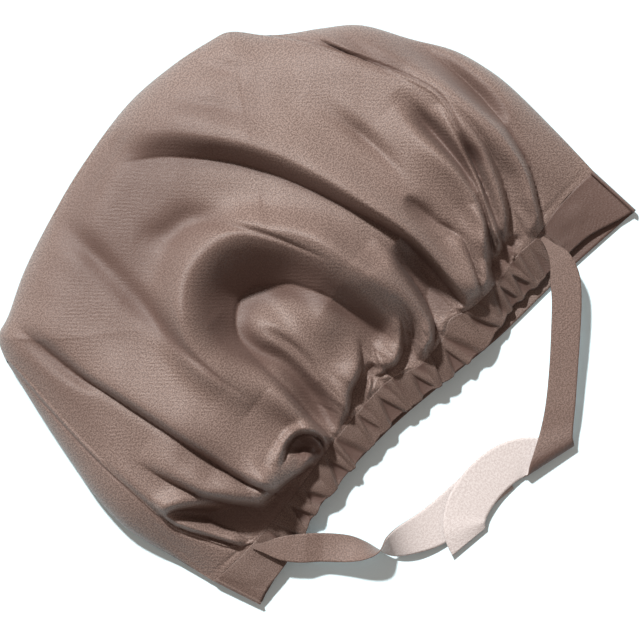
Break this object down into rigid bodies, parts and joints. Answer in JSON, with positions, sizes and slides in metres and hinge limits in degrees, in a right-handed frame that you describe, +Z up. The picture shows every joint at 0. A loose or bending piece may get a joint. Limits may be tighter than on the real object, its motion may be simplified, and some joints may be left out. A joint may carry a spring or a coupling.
{
  "type": "sleep bonnet",
  "caption": "Satin sleep bonnet laid flat, nape side up, with a full gathered crown, a smooth brow band, a gathered nape casing and ribbon ties.",
  "frame": {"origin": "point on the flat underside that lies on the surface, under the middle of the crown, half way from the mouth to the far edge", "axes": "+Z up from the surface the bonnet lies on, +Y from the mouth towards the far edge of the crown, +X along the mouth towards the side of the longer straight ribbon"},
  "size_m": [0.3359, 0.321, 0.0579],
  "materials": {
    "satin_crown": "soft satin, taupe brown",
    "satin_band": "soft satin, taupe brown",
    "satin_ribbon": "satin ribbon, taupe brown with a pale matt back"
  },
  "bodies": {
    "root": {"back_panel": "satin_crown", "front_panel": "satin_crown", "nape_casing": "satin_band", "brow_band": "satin_band", "tie_left": "satin_ribbon", "tie_right": "satin_ribbon"}
  },
  "joints": []
}
